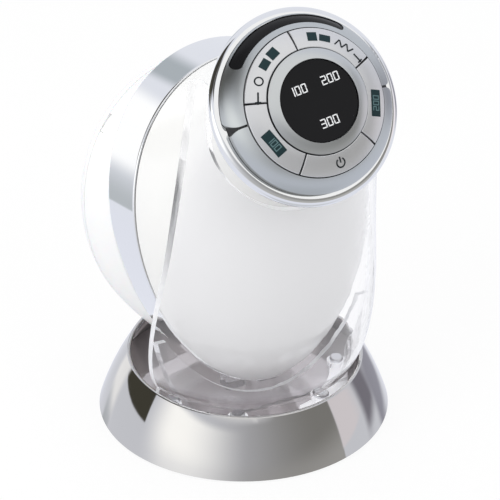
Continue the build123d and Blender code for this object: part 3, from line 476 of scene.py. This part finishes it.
# White body: an injection-moulded shell, clipped to the ring over a dark rubber gasket. Its
# glossy pearl lacquer carries a very fine flake.
pearl_lacquer = moulded(
    "pearl_lacquer", (0.85, 0.849, 0.836), 0.3, grain_scale=2200.0, grain_depth=0.000002,
    grain_strength=0.2, variation=0.03, Coat_Weight=0.5, Coat_Roughness=0.08)
dress(pearl_lacquer, "body_shell")
dress(moulded("gasket_rubber", (0.012, 0.012, 0.013), 0.7), "ring_gasket")


# Chrome ring, cup and collar: plated metal parts, the ring between the body and the head, and the
# cup on its satin collar between the neck and the key panel.
bright_chrome = plated("bright_chrome", (0.86, 0.865, 0.875), 0.03, haze_amount=0.02)
satin_chrome = plated("satin_chrome_collar", (0.86, 0.865, 0.87), 0.35, haze_amount=0.05)
dress(bright_chrome, "ring_band", "panel_cup")
dress(satin_chrome, "neck_collar")


# Head housing and domed cover: white plastic that lets a little light into its skin. Two small
# catches in the housing's rim hold the cover.
head_white = moulded(
    "head_white", (0.92, 0.92, 0.925), 0.35, grain_scale=1500.0, grain_depth=0.000003,
    variation=0.02, Subsurface_Weight=0.1, Subsurface_Scale=0.002, Coat_Weight=0.2,
    Coat_Roughness=0.12)
dress(head_white, "head_housing", "head_cover")
dress(moulded("catch_white", (0.88, 0.88, 0.885), 0.35, grain_scale=1500.0), "cover_catches")


# Treatment head under the cover: a white deck with a polished metal plate and six electrode caps,
# the transducer glued behind the plate, and a ring-shaped board.
def laminate(name, mask_colour, track_colour, track_scale=160.0, track_width=0.03):
    """Circuit board with tracks under its solder mask"""
    material, tree, shader = new_material(name, mask_colour, 0.35)
    tracks = add_node(
        tree, "ShaderNodeTexBrick",
        in_Vector=add_node(tree, "ShaderNodeTexCoord").outputs["Object"],
        in_Color1=(*mask_colour, 1), in_Color2=(*mask_colour, 1), in_Mortar=(*track_colour, 1),
        in_Scale=track_scale, in_Mortar_Size=track_width)
    tree.links.new(tracks.outputs["Color"], shader.inputs["Base Color"])
    relief(tree, shader, tracks.outputs["Fac"], depth=0.00003, strength=0.3)
    return material


deck_white = moulded(
    "deck_white", (0.88, 0.88, 0.885), 0.28, grain_scale=1500.0, grain_depth=0.000003)
contact_metal = plated(
    "polished_contacts", (0.74, 0.74, 0.75), 0.12, haze_amount=0.08, haze_scale=90.0)
dress(deck_white, "head_deck")
dress(contact_metal, "sound_plate", "electrodes")
dress(moulded("transducer_ceramic", (0.72, 0.69, 0.6), 0.5, grain_scale=700.0), "transducer")
dress(laminate("green_board", (0.03, 0.16, 0.07), (0.09, 0.3, 0.14)),
      "head_board", "main_board", "display_board")


# Pieces inside the body: a black plastic frame plate that carries the others on screws and clips,
# the battery in its shrunk wrap, the transformer in its yellow tape, and the power socket.
battery_wrap = moulded(
    "battery_wrap", (0.05, 0.14, 0.36), 0.3, grain_scale=200.0, grain_depth=0.00002)
dress(moulded("black_frame", (0.012, 0.012, 0.013), 0.5),
      "mid_frame", "panel_carrier", "display_module", "key_switches")
dress(battery_wrap, "battery")
dress(moulded("transformer_tape", (0.6, 0.45, 0.1), 0.4, grain_scale=300.0), "rf_transformer")
dress(moulded("socket_black", (0.035, 0.035, 0.037), 0.4), "power_socket")


# Contact plates: satin metal rings round the keys, blasted and clear coated. The slot of the
# upper one holds a dark tinted strip.
def satin(name, colour, roughness, variation, metallic=1.0):
    """Blasted metal or metal lacquer with a fine satin grain"""
    return moulded(
        name, colour, roughness, grain_scale=2500.0, grain_depth=0.000004, variation=variation,
        Metallic=metallic)


blasted_metal = satin("satin_contact_metal", (0.56, 0.585, 0.595), 0.36, variation=0.08)
tinted_strip = moulded(
    "tinted_strip", (0.009, 0.009, 0.01), 0.25, grain_scale=1500.0, Specular_IOR_Level=0.1)
dress(blasted_metal, "upper_contact", "lower_contact")
dress(tinted_strip, "indicator_strip")


# Window and bezel: a gloss black window, glued into a satin silver bezel that snaps into the
# panel carrier inside the ring of keys.
black_gloss = moulded(
    "black_window", (0.008, 0.008, 0.009), 0.1, grain_scale=1500.0, grain_depth=0.000001,
    Specular_IOR_Level=0.08, Coat_Weight=0.05, Coat_Roughness=0.03)
dress(satin("bezel_silver", (0.6, 0.62, 0.63), 0.3, variation=0.04), "window_bezel")
dress(black_gloss, "display_window")


# Keys: five segments of moulded plastic with a satin silver lacquer, in a ring round the bezel.
# Each sits on its own switch.
key_lacquer = satin(
    "silver_key_lacquer", (0.66, 0.665, 0.68), 0.34, variation=0.03, metallic=0.8)
dress(key_lacquer,
      "right_level_key", "left_level_key", "left_mode_key", "power_key", "right_mode_key")


# Printed marks: two bars, a dash and a sign on each level key, a numbered teal plate on each mode
# key, the usual on-off sign on the power key and numbers in the window. Each is a thin raised
# print.
millimetre = 0.001
panel_lean = radians(32.9)  # this and the next two place the panel, as in the part's source
panel_turn = radians(9.0)
panel_centre = Vector((0, -0.0594, 0.1519))
panel_out = Vector((0, -cos(panel_lean), sin(panel_lean)))
panel_up = Vector((0, sin(panel_lean), cos(panel_lean)))
panel_right = Vector((1, 0, 0))
dial_right = panel_right * cos(panel_turn) + panel_up * sin(panel_turn)
dial_up = panel_up * cos(panel_turn) - panel_right * sin(panel_turn)
key_middle_radius = 21.2  # this and the next three give the keys' crowned face, in millimetres
key_middle_height = -1.9
key_slope = -0.3088
key_bow = -0.0303
print_rise = 0.07
print_depth = 0.12
print_step = 0.61
plate_rise = 0.06
figure_width = 0.56  # this and the gap are shares of a figure's height
figure_gap = 0.3


def dial_spot(clock, radius):
    """A spot on the dial, across and up it in millimetres, from its clock angle and radius"""
    return Vector((sin(radians(clock)), cos(radians(clock)))) * radius


def dial_place(spot, height):
    """The place in the scene of a spot on the dial at a height in millimetres"""
    away = dial_right * spot.x + dial_up * spot.y + panel_out * height
    return panel_centre + away * millimetre


def key_face(spot):
    """Height of the keys' crowned face at a spot on the dial"""
    away = spot.length - key_middle_radius
    return key_middle_height + key_slope * away + key_bow * away**2


def plate_face(spot):
    """Height of a printed plate's face at a spot on the dial"""
    return key_face(spot) + plate_rise


def window_face(spot):
    """Height of the window's flat face"""
    return 0.0


def block(middle, way_right, width, height):
    """Corners of a block on the dial about its middle, with the way that its width runs"""
    way_up = Vector((-way_right.y, way_right.x))
    return [
        middle + way_right * (side * width / 2) + way_up * (end * height / 2)
        for side, end in ((-1, -1), (1, -1), (1, 1), (-1, 1))
    ]


def dial_block(clock, radius, width, height, lean=0.0):
    """Corners of a block that stands outwards on the dial, or leans by some degrees"""
    way = radians(lean - clock)
    return block(dial_spot(clock, radius), Vector((cos(way), sin(way))), width, height)


def arc_blocks(middle, arc_radius, line, first=0, last=360, count=16):
    """Blocks along an arc about a spot on the dial, for a ring-shaped sign"""
    angles = [first + (last - first) * number / count for number in range(count + 1)]
    inner, outer = arc_radius - line / 2, arc_radius + line / 2
    return [
        [middle + dial_spot(start, inner), middle + dial_spot(end, inner),
         middle + dial_spot(end, outer), middle + dial_spot(start, outer)]
        for start, end in zip(angles, angles[1:])
    ]


def figures(number, middle, way_right, height, line):
    """Blocks of a plain number in straight strokes, about a spot on the dial"""
    strokes = {
        # both ends of each stroke, in shares of a figure's width and height
        "a": (0, 1, 1, 1), "b": (1, 0.5, 1, 1), "c": (1, 0, 1, 0.5), "d": (0, 0, 1, 0),
        "e": (0, 0, 0, 0.5), "f": (0, 0.5, 0, 1), "g": (0, 0.5, 1, 0.5),
    }
    shapes = {"0": "abcdef", "1": "bc", "2": "abged", "3": "abgcd"}
    width = height * figure_width
    advance = width + height * figure_gap
    way_up = Vector((-way_right.y, way_right.x))
    blocks = []
    for place, digit in enumerate(number):
        digit_middle = middle + way_right * ((place - (len(number) - 1) / 2) * advance)
        for x0, y0, x1, y1 in (strokes[stroke] for stroke in shapes[digit]):
            stroke_middle = (
                digit_middle + way_right * ((x0 + x1 - 1) / 2 * width)
                + way_up * ((y0 + y1 - 1) / 2 * height))
            blocks.append(block(
                stroke_middle, way_right, (x1 - x0) * width + line, (y1 - y0) * height + line))
    return blocks


def print_patch(corners, face_height):
    """Vertices and faces of a thin raised patch with four corners on the dial, in order round it"""
    a, b, c, d = corners
    columns = max(1, round((b - a).length / print_step))
    rows = max(1, round((d - a).length / print_step))
    vertices = []
    for lift in (print_rise, print_rise - print_depth):
        for row in range(rows + 1):
            for column in range(columns + 1):
                spot = a.lerp(b, column / columns).lerp(d.lerp(c, column / columns), row / rows)
                vertices.append(dial_place(spot, face_height(spot) + lift))
    width = columns + 1
    layer = (rows + 1) * width
    faces = []
    for row in range(rows):
        for column in range(columns):
            corner = row * width + column
            top = (corner, corner + width, corner + width + 1, corner + 1)
            faces.append(top)
            faces.append(tuple(layer + index for index in reversed(top)))
    border = list(range(width)) + [row * width + columns for row in range(1, rows + 1)]
    border += [rows * width + column for column in range(columns - 1, -1, -1)]
    border += [row * width for row in range(rows - 1, 0, -1)]
    for first, second in zip(border, border[1:] + border[:1]):
        faces.append((first, second, layer + second, layer + first))
    return vertices, faces


def print_piece(name, blocks, material, body, face_height=key_face):
    """One printed mark made of blocks, riding on its key or on the handset"""
    vertices, faces = [], []
    for corners in blocks:
        area = sum(p.cross(q) for p, q in zip(corners, corners[1:] + corners[:1]))
        clockwise = corners if area < 0 else corners[::-1]
        patch_vertices, patch_faces = print_patch(clockwise, face_height)
        faces += [tuple(len(vertices) + index for index in face) for face in patch_faces]
        vertices += patch_vertices
    mesh = bpy.data.meshes.new(name)
    mesh.from_pydata(vertices, [], faces)
    mesh.materials.append(material)
    piece = bpy.data.objects.new(name, mesh)
    bpy.context.scene.collection.objects.link(piece)
    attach(piece, body)


ink = {"grain_scale": 3000.0, "grain_depth": 0.000002, "Specular_IOR_Level": 0.15}
dark_ink = moulded("dark_print", (0.015, 0.019, 0.022), 0.45, **ink)
teal_ink = moulded("teal_print", (0.012, 0.03, 0.034), 0.4, **ink)
pale_ink = moulded("pale_print", (0.8, 0.81, 0.82), 0.4, **ink)
line_ink = moulded("teal_line", (0.1, 0.17, 0.18), 0.4, **ink)

circle_sign = arc_blocks(dial_spot(-52, 21.0), arc_radius=1.35, line=0.5)
wave_sign = [
    dial_block(42.5 + 3.6 * stroke, 21.4, width=0.5, height=2.6, lean=30 if stroke % 2 else -30)
    for stroke in range(5)
]
for level_key, bars, dash, sign in (
    # bars and dash by clock angle, radius, width and height
    ("left_level", ((-23, 21.4, 3.6, 3.2), (-35.5, 21.3, 3.6, 2.8)),
     ((-67.5, 20.6, 4.0, 0.55), (-71.3, 20.6, 0.55, 1.9)), circle_sign),
    ("right_level", ((18.5, 21.5, 3.4, 3.0), (30.5, 21.3, 3.9, 2.3)),
     ((66, 21.0, 3.6, 0.55), (69.7, 21.0, 0.55, 1.9)), wave_sign),
):
    print_piece(level_key + "_bars", [dial_block(*bar) for bar in bars], teal_ink, level_key)
    print_piece(
        level_key + "_sign", [dial_block(*stroke) for stroke in dash] + sign, dark_ink, level_key)

plate_radius, plate_width, plate_height = 20.9, 8.9, 3.6
for mode_key, plate_clock, mode_number in (("left_mode", -111, "100"), ("right_mode", 111, "200")):
    inwards = dial_spot(plate_clock, -1)
    print_piece(
        mode_key + "_plate", [dial_block(plate_clock, plate_radius, plate_width, plate_height)],
        teal_ink, mode_key)
    print_piece(
        mode_key + "_figures",
        figures(mode_number, dial_spot(plate_clock, plate_radius), Vector((inwards.y, -inwards.x)),
                height=2.1, line=0.32),
        line_ink, mode_key, face_height=plate_face)

power_sign = arc_blocks(dial_spot(180, 21.3), arc_radius=1.5, line=0.5, first=35, last=325)
power_sign.append(dial_block(180, 20.3, width=0.5, height=2.0))
print_piece("power_sign", power_sign, dark_ink, "power")

for window_number, window_clock, window_radius in (
    ("100", -46, 8.0), ("200", 49, 8.6), ("300", 173, 7.5),
):
    print_piece(
        "window_figures_" + window_number,
        figures(window_number, dial_spot(window_clock, window_radius), Vector((1, 0)),
                height=2.7, line=0.38),
        pale_ink, "handset", face_height=window_face)
